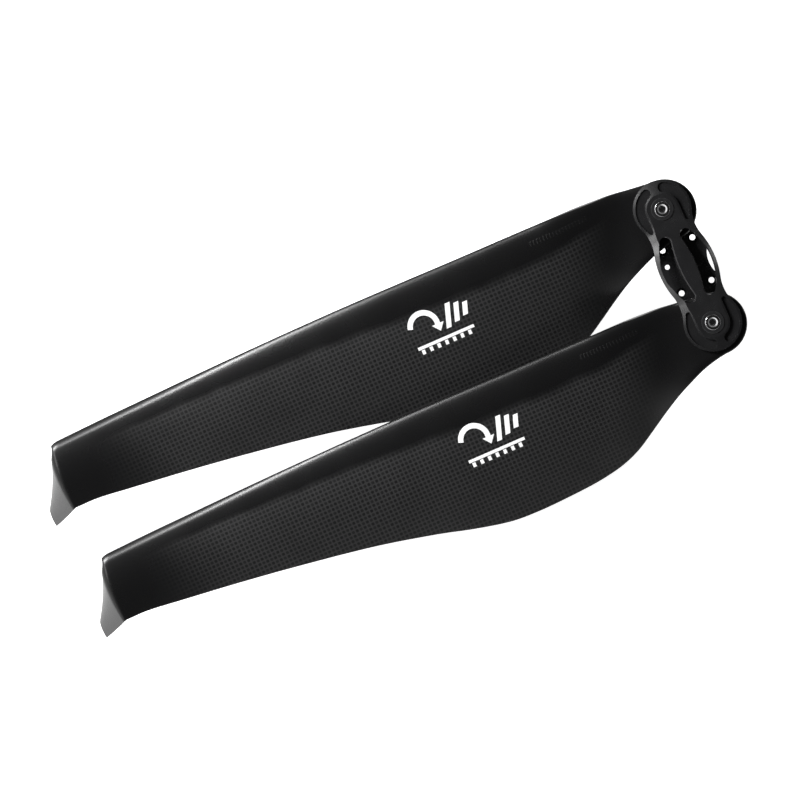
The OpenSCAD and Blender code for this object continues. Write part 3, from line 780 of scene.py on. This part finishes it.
    def block(self):
        """The block between the plates: a lens with round ends."""
        s = self.s
        point = self.lens_point * s.block_half_length
        lens = (point**2 + s.block_half_width**2) / (2 * s.block_half_width)
        reach = math.asin(min(1, s.block_half_length * self.lens_share / lens))
        end_y = s.block_half_width - lens + lens * math.cos(reach)
        end_angle = math.asin(end_y / s.block_half_length)
        quarter = math.pi / 2
        half = (
            arc((0, s.block_half_width - lens), lens, quarter + reach, quarter - reach)
            + arc((0, 0), s.block_half_length, end_angle, -end_angle)
        )
        return half + [(-x, -y) for x, y in half]


def flipped(points, x_sign, y_sign):
    return [(x * x_sign, y * y_sign) for x, y in points]


def add_plate(bm, levels):
    """Adds a plate as a stack of outlines: each level is an outline and its height."""
    loops = []
    for outline, z in levels:
        made = [bm.verts.new((x, y, z)) for x, y in outline]
        loops.append([bm.edges.new((made[i - 1], made[i])) for i in range(len(made))])
    for lower, upper in zip(loops, loops[1:]):
        bmesh.ops.bridge_loops(bm, edges=lower + upper)
    for loop in (loops[0], loops[-1]):
        bmesh.ops.contextual_create(bm, geom=loop)


def corners():
    """Signs of X and Y in the four quarters of a plate."""
    return [(x, y) for x in (-1, 1) for y in (-1, 1)]


def cap_mesh(shape):
    """The upper plate with its half of the block."""
    s = shape.s
    body = bmesh.new()
    shoulder = CAP_TOP - s.slope_drop
    add_plate(body, [
        (shape.plate(), CAP_UNDER), (shape.plate(), shoulder), (shape.plateau(), CAP_TOP),
    ])
    block = bmesh.new()
    add_prism(block, shape.block(), BLOCK_SPLIT, CAP_UNDER + shape.block_lap)
    joined = bmesh.new()
    joined.from_mesh(carved("cap_block", body, block, "UNION"))
    cutter = bmesh.new()
    for sign in (-1, 1):
        straight = flipped(shape.window(), 1, sign)
        flared = flipped(shape.window(s.window_chamfer), 1, sign)
        add_plate(cutter, [
            (straight, CAP_UNDER - MM), (straight, CAP_TOP - s.window_chamfer),
            (flared, CAP_TOP), (flared, CAP_TOP + MM),
        ])
    for x, y in corners():
        add_prism(cutter, flipped(shape.pocket(), x, y), CAP_TOP - s.pocket_depth, CAP_TOP + MM)
    hole, cup, seat = shape.pivot_hole, shape.cup_seat, CAP_UNDER + shape.cup_floor
    thread = cylinder_profile(shape.thread_hole, BLOCK_SPLIT - MM, CAP_TOP - shape.thread_roof)
    for side in SIDES.values():
        add_lathe(cutter, [
            (0, CAP_UNDER - MM), (hole, CAP_UNDER - MM), (hole, seat), (cup, seat),
            (cup, CAP_TOP + MM), (0, CAP_TOP + MM),
        ], x=side * PIVOT_X)
        add_lathe(cutter, thread, x=side * shape.screw_x, segments=32)
    return carved("cap_plate", joined, cutter)


def base_mesh(shape):
    """The lower plate with its half of the block."""
    s, edge, through = shape.s, shape.base_edge, BASE_TOP + MM
    body = bmesh.new()
    rim, top = shape.plate(), BASE_TOP - edge
    add_plate(body, [(shape.plate(edge), 0), (rim, edge), (rim, top), (shape.plate(edge), BASE_TOP)])
    block = bmesh.new()
    add_prism(block, shape.block(), BASE_TOP - shape.block_lap, BLOCK_SPLIT)
    joined = bmesh.new()
    joined.from_mesh(carved("base_block", body, block, "UNION"))
    cutter = bmesh.new()
    add_lathe(cutter, cylinder_profile(shape.shaft_radius, -MM, shape.shaft_depth))
    hole, seat, floor = shape.mount_hole, shape.mount_seat, shape.mount_floor
    for x, y in corners():
        add_lathe(cutter, [
            (0, -MM), (hole, -MM), (hole, floor), (seat, floor), (seat, through), (0, through),
        ], x=x * s.screw_pattern_x, y=y * s.screw_pattern_y, segments=48)
        add_prism(cutter, flipped(shape.pocket(), x, y), -MM, s.pocket_depth)
    add_lathe(cutter, cylinder_profile(shape.index_hole, -MM, through), x=shape.index_x,
              y=shape.index_y, segments=32)
    add_lathe(cutter, cylinder_profile(shape.scallop, -MM, through), x=shape.scallop_x,
              y=s.middle_half_width + shape.scallop_out, segments=160)
    hole, head = shape.screw_hole, shape.screw_head
    for side in SIDES.values():
        add_prism(cutter, hexagon(side * PIVOT_X, shape.nut_corner), -MM, shape.nut_room)
        pivot = cylinder_profile(shape.pivot_hole, shape.nut_room - shape.cut_lap, through)
        add_lathe(cutter, pivot, x=side * PIVOT_X)
        add_lathe(cutter, [
            (0, -MM), (head, -MM), (head, shape.screw_rim), (hole, shape.screw_cone),
            (hole, BLOCK_SPLIT + MM), (0, BLOCK_SPLIT + MM),
        ], x=side * shape.screw_x, segments=48)
    return carved("base_plate", joined, cutter)


def anodised_material(finish):
    """Satin black anodising over fine cutter marks."""
    shader = Shader("black_anodised")
    spot = shader.place()
    x, y, _ = shader.parts(spot)
    cutter = ((x + y * 0.35) * 9000).math("SINE")
    cloud = shader.noise(160, 4, spot)
    grain = shader.noise(5200, 2, spot)
    shader.set(
        Base_Color=shader.blend(cloud, tint(finish.anodised), tint(finish.anodised, 1.6)),
        Roughness=0.20 + cloud * 0.08 + grain * 0.04, Specular_IOR_Level=0.85,
    )
    shader.bump(cutter * 0.15 + grain * 0.5, 0.006 * MM)
    return shader.material


class PROPELLER_OT_hub(bpy.types.Operator):
    """Make the upper and lower hub plates"""

    bl_idname = "propeller.hub"
    bl_label = "Hub Plates"

    def execute(self, context):
        sizes = context.scene.propeller_hub
        shape = HubShape(sizes)
        anodised = anodised_material(context.scene.propeller_finish)
        for name, mesh, node in (
            ("cap_plate", cap_mesh(shape), "hub_cap"), ("base_plate", base_mesh(shape), "hub_base"),
        ):
            piece = finish_piece(name, mesh, "hub", anodised, [node], 12)
            soften(piece, sizes.edge)
        return {"FINISHED"}


# ---------- Pivot hardware ----------


def mottled_material(name, setting, factor, cloud, roughness, spread, metallic=0.0,
                     grain=None, relief=0.004 * MM):
    """A material whose colour and gloss vary in clouds, under a fine grain."""
    shader = Shader(name)
    patch = shader.noise(*cloud)
    shader.set(
        Base_Color=shader.blend(patch, tint(setting), tint(setting, factor)),
        Metallic=metallic, Roughness=roughness + patch * spread,
    )
    if grain:
        shader.bump(shader.noise(grain, 2), relief)
    return shader.material


def plastic_material(name, setting, roughness, scale):
    return mottled_material(name, setting, 0.85, cloud=(scale, 4), roughness=roughness,
                            spread=0.1, grain=scale * 6, relief=0.01 * MM)


def bolt_mesh(sizes, number):
    """A shoulder bolt: crowned head with a hex socket, shoulder and threaded end."""
    low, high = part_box(f"pivot_bolt_{number}")
    centre = SIDES[number] * PIVOT_X
    radius, shoulder = sizes.head_radius, sizes.shoulder_radius
    pitch, thread = sizes.thread_pitch, sizes.thread_radius
    head_bottom, chamfer = high.z - 2.5 * MM, 0.25 * MM
    point, thread_depth, thread_top = 0.5 * MM, 0.35 * MM, 3.5 * MM
    turns = int((thread_top - low.z) / pitch)
    profile = [(0, low.z), (thread - point, low.z)]
    for turn in range(turns):
        z = low.z + thread_depth + turn * pitch
        profile += [(thread, z), (thread - thread_depth, z + pitch / 2)]
    profile += [(thread - thread_depth, thread_top), (shoulder, thread_top),
                (shoulder, head_bottom), (radius - chamfer, head_bottom),
                (radius, head_bottom + chamfer)]
    crown, throat, floor = 0.3 * MM, 1.5 * MM, high.z - 0.75 * MM
    rise = high.z - crown
    profile += [(radius, rise)]
    profile += [(radius - crown * (1 - math.cos(a)), rise + crown * math.sin(a))
                for a in (math.radians(d) for d in range(15, 91, 15))]
    profile += [(sizes.mouth_radius, high.z), (throat, floor), (0, floor)]
    body = bmesh.new()
    add_lathe(body, profile, x=centre, segments=72)
    cutter = bmesh.new()
    reach, socket_turn = sizes.socket_flats / 2 / math.cos(math.pi / 6), 0.3
    add_prism(cutter, hexagon(centre, reach, socket_turn), high.z - sizes.socket_depth, high.z + MM)
    return carved(f"bolt_{number}", body, cutter)


def cup_mesh(number):
    """The flanged cup that the bolt's head sits in."""
    low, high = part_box(f"pivot_cup_{number}")
    flange, lip, soft = (high.x - low.x) / 2, 0.05 * MM, 0.15 * MM
    bore, barrel, mouth, floor = 2.55 * MM, 4.7 * MM, 3.85 * MM, low.z + 0.8 * MM
    bm = bmesh.new()
    profile = [
        (bore, low.z), (barrel - soft, low.z), (barrel, low.z + soft), (barrel, CAP_TOP),
        (flange - lip, CAP_TOP), (flange, CAP_TOP + soft), (flange, high.z - soft),
        (flange - soft, high.z), (mouth + soft, high.z), (mouth, high.z - soft),
        (mouth, floor), (bore, floor), (bore, low.z),
    ]
    add_lathe(bm, profile, x=SIDES[number] * PIVOT_X, segments=72)
    return mesh_of(bm, f"cup_{number}")


def nut_mesh(number):
    """A hex lock nut with rounded corners, its bore and the room for its insert."""
    low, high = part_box(f"lock_nut_{number}")
    centre, corner = SIDES[number] * PIVOT_X, (high.x - low.x) / 2
    body = bmesh.new()
    add_prism(body, hexagon(centre, corner), low.z, high.z)
    crown = bmesh.new()
    room, bore, ledge = 2.9 * MM, 2.0 * MM, low.z + 0.9 * MM
    past, chamfer, inset = MM / 2, 0.4 * MM, 0.1 * MM
    flat, wide = corner * math.cos(math.pi / 6), corner + 0.3 * MM
    add_lathe(crown, [
        (room, low.z - past), (room, ledge), (bore, ledge), (bore, high.z + past),
        (flat + past, high.z + past), (wide, high.z - chamfer), (wide, low.z + chamfer),
        (flat - inset, low.z - inset), (flat - inset, low.z - past), (room, low.z - past),
    ], x=centre, segments=72)
    return carved(f"nut_{number}", body, crown, "INTERSECT")


class PROPELLER_OT_hardware(bpy.types.Operator):
    """Make the shoulder bolts, cups and lock nuts"""

    bl_idname = "propeller.hardware"
    bl_label = "Pivot Hardware"

    def execute(self, context):
        sizes = context.scene.propeller_hardware
        finish = context.scene.propeller_finish
        steel = mottled_material("polished_steel", finish.steel, 0.82, cloud=(900, 3),
                                 roughness=0.09, spread=0.08, metallic=1.0, grain=4200)
        black = mottled_material("black_oxide", finish.black_steel, 1.8, cloud=(700, 3),
                                 roughness=0.28, spread=0.12, metallic=0.6, grain=3000)
        for number in SIDES:
            finish_piece(f"shoulder_bolt_{number}", bolt_mesh(sizes, number),
                         "hub", steel, [f"pivot_bolt_{number}"])
            finish_piece(f"bolt_cup_{number}", cup_mesh(number),
                         "hub", black, [f"pivot_cup_{number}"])
            finish_piece(f"nut_{number}", nut_mesh(number),
                         "hub", steel, [f"lock_nut_{number}"])
        paint("plate_screws", black)
        return {"FINISHED"}


class PROPELLER_OT_hidden_parts(bpy.types.Operator):
    """Give the washers, inserts, sleeves and cores their finishes"""

    bl_idname = "propeller.hidden_parts"
    bl_label = "Washers and Cores"

    def execute(self, context):
        finish = context.scene.propeller_finish
        brass = mottled_material("turned_brass", finish.brass, 0.8, cloud=(600, 3),
                                 roughness=0.22, spread=0.15, metallic=1.0)
        washer = plastic_material("friction_washer", finish.washer, 0.45, 300)
        nylon = plastic_material("nylon_insert", finish.nylon, 0.4, 400)
        foam = plastic_material("foam_core", finish.foam, 0.8, 900)
        for number in SIDES:
            paint(f"upper_washer_{number}", washer)
            paint(f"lower_washer_{number}", washer)
            paint(f"nut_insert_{number}", nylon)
            paint(f"blade_{number}_core", foam)
            paint(f"blade_{number}_sleeve", brass)
        return {"FINISHED"}


# ---------- Stage ----------

PART_CENTRE = Vector((0, -160 * MM, 8 * MM))
HUB_TOP, TIPS = Vector((0, 0, 15 * MM)), Vector((0, -260 * MM, 10 * MM))
AIM_RIGHT, AIM_UP = 8.78 * MM, 1.08 * MM  # from the centre, as the camera sees it
FLOOR_REACH = 6  # metres to each side


def add_panel_light(name, target, away, distance, width, height, watts):
    """A soft rectangular light that faces the target from one direction."""
    data = bpy.data.lights.new(name, "AREA")
    data.shape, data.size, data.size_y, data.energy = "RECTANGLE", width, height, watts
    lamp = bpy.data.objects.new(name, data)
    bpy.context.collection.objects.link(lamp)
    away = Vector(away).normalized()
    lamp.location = target + away * distance
    lamp.rotation_euler = away.to_track_quat("Z", "Y").to_euler()


def add_floor(context, s):
    """A pale floor that glows, so that the part casts almost no shadow on it."""
    shader = Shader("pale_floor")
    speck = shader.noise(3, 2)
    shader.set(
        Base_Color=shader.blend(speck, (0.90, 0.90, 0.90), (0.92, 0.92, 0.92)), Roughness=0.9,
        Specular_IOR_Level=0.1, Emission_Color=(1.0, 1.0, 1.0), Emission_Strength=s.floor_glow,
    )
    bm = bmesh.new()
    bmesh.ops.create_grid(bm, x_segments=1, y_segments=1, size=FLOOR_REACH)
    bmesh.ops.translate(bm, verts=bm.verts, vec=(0, 0, CAD_LOW.z - s.floor_gap))
    floor = bpy.data.objects.new("floor", mesh_of(bm, "floor"))
    floor.data.materials.append(shader.material)
    context.collection.objects.link(floor)


def add_surround(scene, s):
    """A white studio, dark overhead and brighter where the folded blades point."""
    scene.world = scene.world or bpy.data.worlds.new("studio")
    shader = Shader(scene.world, "Background")
    _, y, z = shader.parts(shader.node("ShaderNodeTexCoord", output="Generated"))
    low = 1 - shader.step(z, math.sin(s.wall_start), math.sin(s.wall_end))
    side = shader.step(-y, -0.1, 0.85)
    glow = low * (s.wall_dim + side * (s.wall_bright - s.wall_dim)) + s.zenith
    shader.set(Color=(1.0, 1.0, 1.0), Strength=glow)


class PROPELLER_OT_stage(bpy.types.Operator):
    """Set up the floor, the lights and the camera"""

    bl_idname = "propeller.stage"
    bl_label = "Stage"

    def execute(self, context):
        s = context.scene.propeller_stage
        scene = context.scene
        turn = (
            Matrix.Rotation(s.tilt, 3, "X") @ Matrix.Rotation(s.lean, 3, "Y")
            @ Matrix.Rotation(s.roll, 3, "Z")
        )
        right, up, back = turn.col[0], turn.col[1], turn.col[2]
        aim = PART_CENTRE + right * AIM_RIGHT + up * AIM_UP
        data = bpy.data.cameras.new("camera")
        data.lens, data.sensor_width = s.lens, 36
        data.clip_start, data.clip_end = 0.05, 30
        camera = bpy.data.objects.new("camera", data)
        context.collection.objects.link(camera)
        camera.matrix_world = Matrix.Translation(aim + back * s.camera_distance) @ turn.to_4x4()
        scene.camera = camera

        add_floor(context, s)
        add_surround(scene, s)
        add_panel_light("edge_light", TIPS, (-0.62, -0.03, 0.82), distance=0.7, width=0.05,
                        height=0.12, watts=s.edge_watts)
        add_panel_light("hub_light", HUB_TOP, (-0.30, -1.0, 0.95), distance=1.2, width=0.5,
                        height=0.35, watts=s.hub_watts)
        add_panel_light("key_light", TIPS, (-0.85, -0.55, 0.85), distance=2.2, width=0.7,
                        height=0.7, watts=s.key_watts)
        scene.view_settings.view_transform = "Standard"
        return {"FINISHED"}


class PROPELLER_PT_panel(bpy.types.Panel):
    """Lists the propeller's pieces in the sidebar"""

    bl_idname = "PROPELLER_PT_panel"
    bl_label = "Propeller"
    bl_space_type = "VIEW_3D"
    bl_region_type = "UI"
    bl_category = "Propeller"

    def draw(self, context):
        for operator in OPERATORS:
            self.layout.operator(operator.bl_idname)
        for name in GROUPS:
            box = self.layout.box()
            group = getattr(context.scene, name)
            for key in group.__annotations__:
                box.prop(group, key)


GROUPS = {
    "propeller_blade": BladeSizes,
    "propeller_hub": HubSizes,
    "propeller_hardware": HardwareSizes,
    "propeller_finish": Finishes,
    "propeller_stage": StageSettings,
}
OPERATORS = (
    PROPELLER_OT_blades,
    PROPELLER_OT_hub,
    PROPELLER_OT_hardware,
    PROPELLER_OT_hidden_parts,
    PROPELLER_OT_stage,
)
CLASSES = (*GROUPS.values(), *OPERATORS, PROPELLER_PT_panel)


def register():
    for cls in CLASSES:
        bpy.utils.register_class(cls)
    for name, cls in GROUPS.items():
        setattr(bpy.types.Scene, name, PointerProperty(type=cls))


def unregister():
    for name in GROUPS:
        delattr(bpy.types.Scene, name)
    for cls in reversed(CLASSES):
        bpy.utils.unregister_class(cls)


def main():
    register()
    bpy.ops.propeller.blades()
    bpy.ops.propeller.hub()
    bpy.ops.propeller.hardware()
    bpy.ops.propeller.hidden_parts()
    bpy.ops.propeller.stage()
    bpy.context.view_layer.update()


if __name__ == "__main__":
    main()
